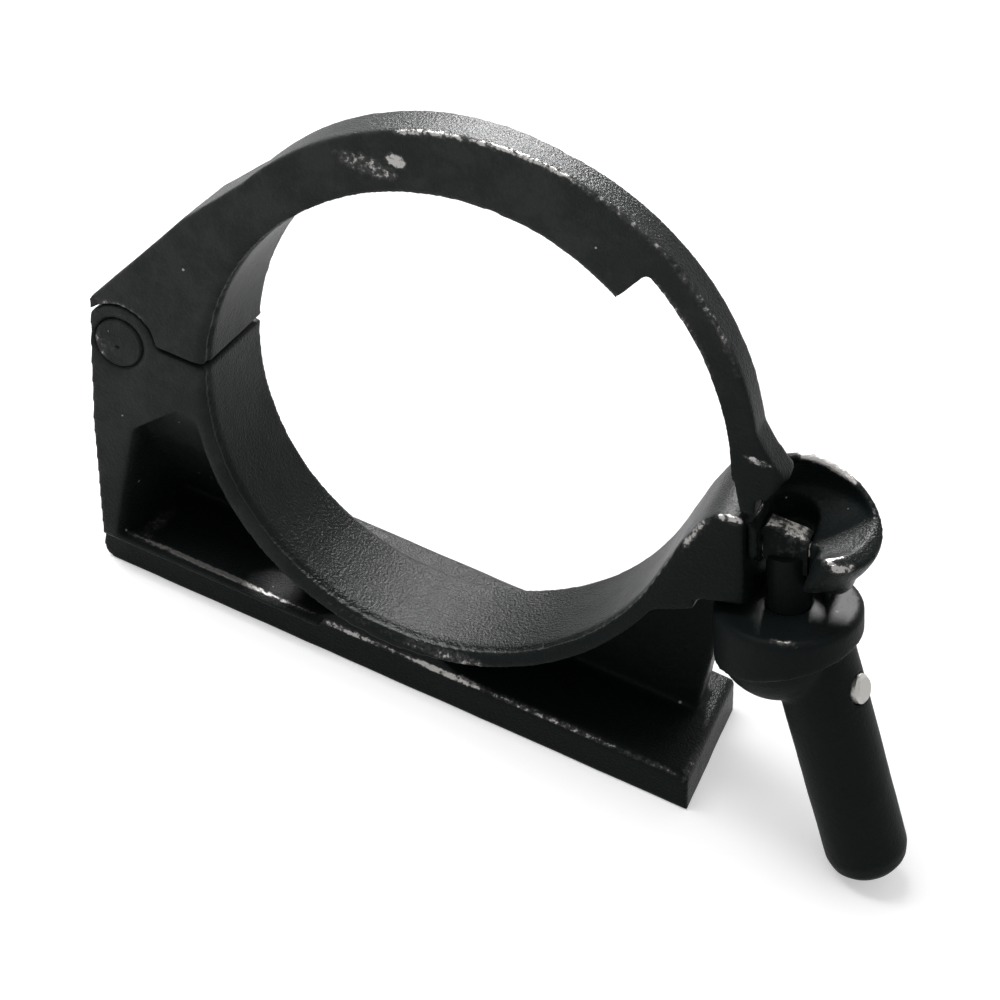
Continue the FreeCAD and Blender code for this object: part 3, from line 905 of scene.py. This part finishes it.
@dataclass
class Studio:
    """White floor and soft studio light.

    Args:
        floor_z: Height of the floor in metres.
        floor_reach: Distance in metres from the middle of the floor to its sides.
        floor_colour: Colour of the floor.
        floor_glow: How much white the camera sees added to the lit floor.
        world_colour: Colour of the even light from all round.
        world_level: Strength of that light.
        lamps: The lamps that hang round the clamp.
    """

    floor_z: float
    floor_reach: float = 6.0
    floor_colour: Colour = (0.80, 0.80, 0.80, 1.0)
    floor_glow: float = 0.37
    world_colour: Colour = (1.0, 1.0, 1.0, 1.0)
    world_level: float = 0.55
    lamps: tuple[SoftLamp, ...] = (LEFT_KEY, BACK_GLINT)

    def build(self) -> None:
        """Make the floor, the surrounding light and the lamps."""
        bpy.context.scene.view_settings.view_transform = "Standard"
        self._floor()
        self._world()
        for lamp in self.lamps:
            lamp.hang()

    @staticmethod
    def _sees_backdrop(bench: NodeBench) -> Socket:
        """Tell rays that show the backdrop from rays that light the object."""
        rays = bench.add("ShaderNodeLightPath").outputs
        mirror = bench.maths("ADD", rays["Is Glossy Ray"], rays["Is Transmission Ray"])
        return bench.maths("ADD", rays["Is Camera Ray"], mirror, True)

    def _floor(self) -> None:
        """Lay a wide white floor that keeps the clamp's shadow."""
        mesh = bpy.data.meshes.new("Floor")
        form = bmesh.new()
        bmesh.ops.create_grid(form, x_segments=1, y_segments=1, size=self.floor_reach)
        bmesh.ops.translate(form, verts=form.verts, vec=(0, 0, self.floor_z))
        form.to_mesh(mesh)
        form.free()
        floor = bpy.data.objects.new("Floor", mesh)
        bpy.context.scene.collection.objects.link(floor)
        mesh.materials.append(self._floor_finish())
        floor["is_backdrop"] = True

    def _floor_finish(self) -> bpy.types.Material:
        """White that the lamps shade, with a glow that only the camera and mirrors see."""
        material = bpy.data.materials.new("White floor")
        material.use_nodes = True
        bench = NodeBench(material.node_tree)
        matt = bench.add("ShaderNodeBsdfDiffuse")
        matt.inputs["Color"].default_value = self.floor_colour
        glow = bench.add("ShaderNodeEmission")
        level = bench.maths("MULTIPLY", self._sees_backdrop(bench), self.floor_glow)
        bench.join(level, glow.inputs["Strength"])
        both = bench.add("ShaderNodeAddShader")
        output = bench.add("ShaderNodeOutputMaterial")
        bench.join(matt.outputs[0], both.inputs[0])
        bench.join(glow.outputs[0], both.inputs[1])
        bench.join(both.outputs[0], output.inputs["Surface"])
        return material

    def _world(self) -> None:
        """Even light from all round, which the camera and mirrors see as plain white."""
        world = bpy.data.worlds.new("Studio")
        bpy.context.scene.world = world
        world.use_nodes = True
        bench = NodeBench(world.node_tree)
        light = bench.add("ShaderNodeBackground")
        light.inputs["Color"].default_value = self.world_colour
        lift = bench.maths("MULTIPLY", self._sees_backdrop(bench), 1.0 - self.world_level)
        bench.join(bench.maths("ADD", lift, self.world_level), light.inputs["Strength"])
        output = bench.add("ShaderNodeOutputWorld")
        bench.join(light.outputs[0], output.inputs["Surface"])


BASE_SPOTS = [
    WornSpot((-55, -13.0, -76.1), (36, 1.3, 1.3), 0.64, Region.FACE),
    WornSpot((-12, -13.0, -76.1), (22, 1.2, 1.1), 0.54, Region.FACE),
    WornSpot((18, -13.0, -76.0), (15, 1.6, 1.3), 0.58, Region.FACE),
    WornSpot((50, -13.0, -76.1), (26, 1.0, 1.0), 0.40, Region.FACE),
    WornSpot((80, -13.0, -76.1), (12, 1.0, 1.0), 0.32, Region.FACE),
    WornSpot((92.5, -10, -75), (3, 14, 3), 0.30),
    WornSpot((77, -16.8, 12.6), (6, 1.2, 1.6), 0.64),
    WornSpot((71, -16.8, 5), (3, 1.2, 7), 0.50),
    WornSpot((10, -16.8, -66), (26, 1.2, 3), 0.42),
    WornSpot((-79, -4, -74.6), (3, 13, 1.6), 0.28, Region.FACE),
]
STRAP_SPOTS = [
    WornSpot((-93, -17, -0.5), (7.0, 1.5, 2.0), 0.40, Region.FACE),
    WornSpot((-26, -17, 71.5), (3.0, 1.5, 1.8), 0.60, Region.FACE),
    WornSpot((-33, -17, 67.5), (9, 1.5, 2.6), 0.38, Region.FACE),
    WornSpot((-20, -17, 82), (12, 1.5, 5), 0.52),
    WornSpot((4, -17, 85), (15, 1.5, 5), 0.58),
    WornSpot((32, -17, 80), (20, 1.5, 8), 0.42),
    WornSpot((58, -17, 64), (16, 1.5, 16), 0.38),
    WornSpot((80, -17, 31), (3.5, 1.5, 1.0), 0.52, Region.FACE),
    WornSpot((95, 8, 23), (10, 5, 5), 0.85),
    WornSpot((108, -20, 16), (5, 4, 4), 0.66),
]
NUT_SPOTS = [
    WornSpot((99, -25, -9), (7, 3, 2.5), 0.60),
]
BOLT_SPOTS = [
    WornSpot((94, -8, 11), (9, 7, 2.2), 0.62, Region.FACE),
]
HINGE_PIN_SPOTS = [
    WornSpot((-98, -17, -14), (3.5, 3, 4), 0.34),
]


def bounds_as_lists() -> list[list[float]]:
    """Lowest and highest corner of what shows, as plain lists."""
    return [list(map(float, corner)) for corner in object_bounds()]


def main() -> None:
    """Build the clamp in order and place it in its studio."""
    logging.basicConfig(level=logging.INFO)
    cad_box = bounds_as_lists()
    shop = FinishShop(Effects())
    cast = shop.paint(CAST_PAINT)
    forged = shop.paint(FORGED_PAINT)
    pin_steel = shop.steel(PIN_STEEL)
    casting = "black_painted_casting"
    steel = "black_painted_steel"
    painted = [
        (PaintedPiece("base_casting", "base", casting, CastSkin(0.84, 8), BASE_SPOTS), cast),
        (PaintedPiece("clamp_strap", "strap", casting, CastSkin(0.68, 11), STRAP_SPOTS), cast),
        (PaintedPiece("lever_nut", "nut", steel, CastSkin(0.7, 6), NUT_SPOTS), forged),
        (PaintedPiece("swing_bolt", "bolt", steel, None, BOLT_SPOTS), forged),
        (PaintedPiece("hinge_pin", "base", steel, None, HINGE_PIN_SPOTS), cast),
    ]
    bare = [
        (BareSteelPin("bolt_pivot_pin"), pin_steel),
        (BareSteelPin("lever_cross_pin"), pin_steel),
    ]
    for maker, material in painted + bare:
        piece = maker.build(material)
        LOG.info("%s has %d faces", piece.name, len(piece.data.polygons))
    Studio(floor_z=cad_box[0][2]).build()
    PhotoCamera().build()


if __name__ == "__main__":
    main()
